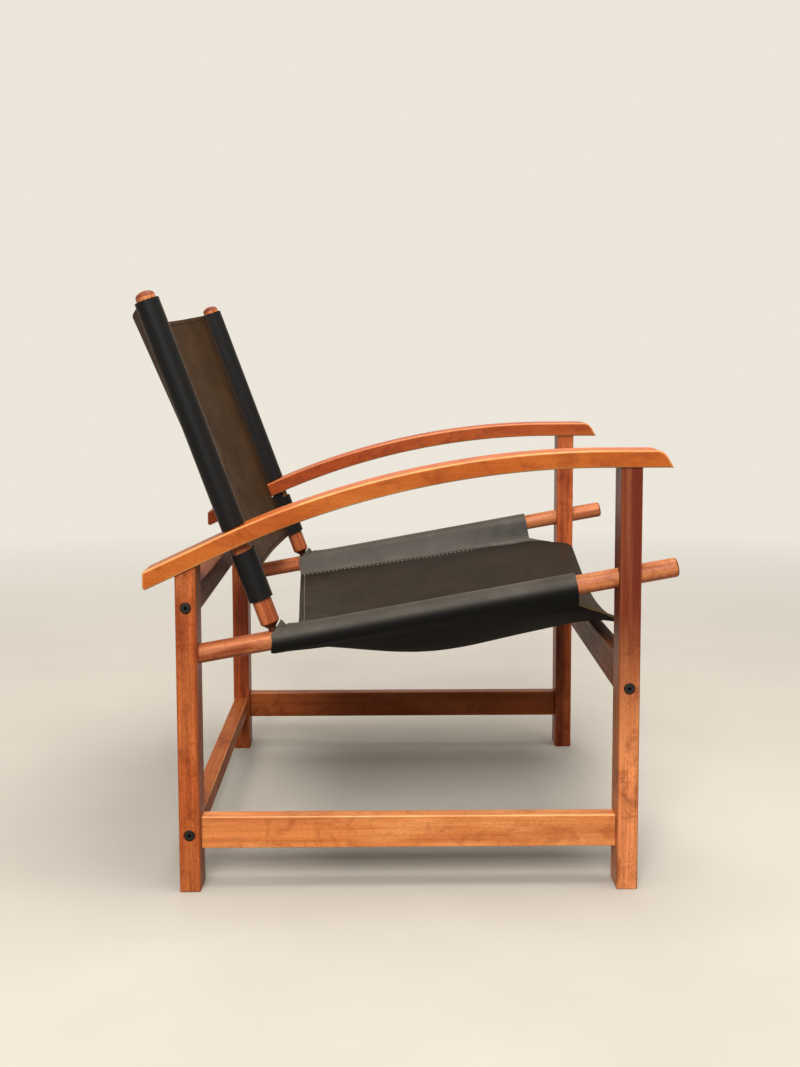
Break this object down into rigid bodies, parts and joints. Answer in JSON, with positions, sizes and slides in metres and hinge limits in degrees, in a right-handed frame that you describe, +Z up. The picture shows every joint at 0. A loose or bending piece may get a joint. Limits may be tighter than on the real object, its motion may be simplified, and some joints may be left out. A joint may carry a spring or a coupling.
{
  "type": "leather sling lounge chair",
  "caption": "Wooden lounge chair with a leather seat and a leather back slung between round rails and posts, and curved armrests.",
  "frame": {"origin": "on the floor, under the middle of the chair's overall box", "axes": "+X to the front of the chair, +Y to the sitter's left, +Z up"},
  "size_m": [0.7318, 0.68, 0.7668],
  "materials": {
    "stained_beech": "reddish brown stain under satin oil",
    "arm_beech": "orange brown stain under satin oil",
    "leather": "thick black saddle leather, satin grain, brown raw edges",
    "black_steel": "black oxide, satin",
    "bright_steel": "zinc plated",
    "plain_beech": "raw, unstained"
  },
  "bodies": {
    "frame": {"rear_leg_right": "stained_beech", "front_leg_right": "stained_beech", "armrest_right": "arm_beech", "side_stretcher_right": "stained_beech", "seat_rail_right": "arm_beech", "arm_dowel_rear_right": "plain_beech", "arm_dowel_front_right": "plain_beech", "rear_leg_left": "stained_beech", "front_leg_left": "stained_beech", "armrest_left": "arm_beech", "side_stretcher_left": "stained_beech", "seat_rail_left": "arm_beech", "arm_dowel_rear_left": "plain_beech", "arm_dowel_front_left": "plain_beech", "rear_top_rail": "stained_beech", "rear_top_bolt_right": "black_steel", "rear_top_barrel_nut_right": "bright_steel", "rear_top_dowel_right": "plain_beech", "rear_top_bolt_left": "black_steel", "rear_top_barrel_nut_left": "bright_steel", "rear_top_dowel_left": "plain_beech", "rear_lower_stretcher": "stained_beech", "rear_low_bolt_right": "black_steel", "rear_low_barrel_nut_right": "bright_steel", "rear_low_dowel_right": "plain_beech", "rear_low_bolt_left": "black_steel", "rear_low_barrel_nut_left": "bright_steel", "rear_low_dowel_left": "plain_beech", "front_rail": "stained_beech", "front_bolt_right": "black_steel", "front_barrel_nut_right": "bright_steel", "front_dowel_right": "plain_beech", "front_bolt_left": "black_steel", "front_barrel_nut_left": "bright_steel", "front_dowel_left": "plain_beech", "seat_sling": "leather", "back_sling": "leather"},
    "back_post_right": {"back_post_right": "arm_beech"},
    "back_post_left": {"back_post_left": "arm_beech"}
  },
  "joints": [
    {"name": "back_post_right_lift", "type": "slide", "parent": "frame", "child": "back_post_right", "axis": [-0.3437, 0, 0.9391], "range_m": [0, 0.44]},
    {"name": "back_post_left_lift", "type": "slide", "parent": "frame", "child": "back_post_left", "axis": [-0.3437, 0, 0.9391], "range_m": [0, 0.44]}
  ]
}
